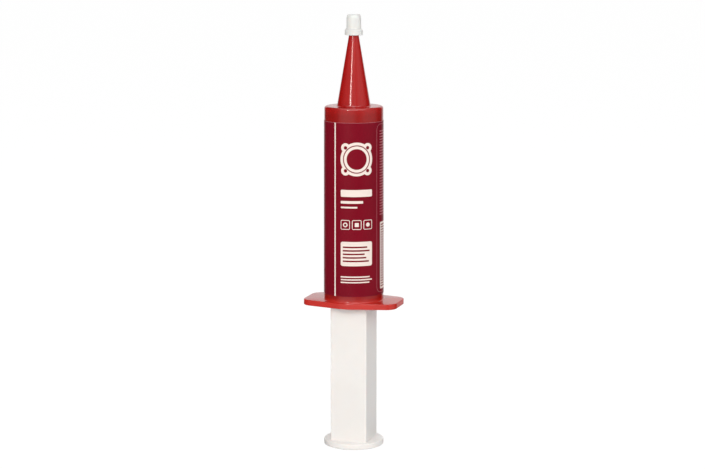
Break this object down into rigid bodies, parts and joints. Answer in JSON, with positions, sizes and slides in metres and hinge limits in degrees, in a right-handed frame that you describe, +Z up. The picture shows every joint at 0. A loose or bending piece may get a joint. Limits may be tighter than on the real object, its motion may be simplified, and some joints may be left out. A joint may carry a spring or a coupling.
{
  "type": "gasket sealant syringe",
  "caption": "Filled sealant syringe: red barrel with a tapered nozzle and a finger flange, dark red label, small white cap and a white square plunger with a round thumb disc.",
  "frame": {"origin": "centre of the thumb disc's underside, on which the syringe stands", "axes": "+Z up the axis to the nozzle; the finger flange is longest along X, and +Y is the short way across it"},
  "size_m": [0.0526, 0.0344, 0.2356],
  "materials": {
    "barrel_plastic": "glossy red moulded polyethylene",
    "label_film": "satin dark red printed film",
    "sealant_gel": "soft uncured gel",
    "piston_plastic": "natural white polyethylene",
    "plunger_plastic": "satin warm white moulded polyethylene",
    "cap_plastic": "translucent natural polyethylene"
  },
  "bodies": {
    "barrel": {"barrel": "barrel_plastic", "label": "label_film", "sealant": "sealant_gel"},
    "piston": {"piston": "piston_plastic"},
    "plunger": {"plunger": "plunger_plastic"},
    "nozzle_cap": {"nozzle_cap": "cap_plastic"}
  },
  "joints": [
    {"name": "plunger_slide", "type": "slide", "parent": "barrel", "child": "piston", "axis": [0, 0, 1], "range_m": [0, 0.0735], "deforming": ["sealant"]},
    {"name": "plunger_turn", "type": "hinge", "parent": "piston", "child": "plunger", "pos_m": [0, 0, 0.0967], "axis": [0, 0, 1], "continuous": true},
    {"name": "cap_pull", "type": "slide", "parent": "barrel", "child": "nozzle_cap", "axis": [0, 0, 1], "range_m": [0, 0.02]}
  ]
}
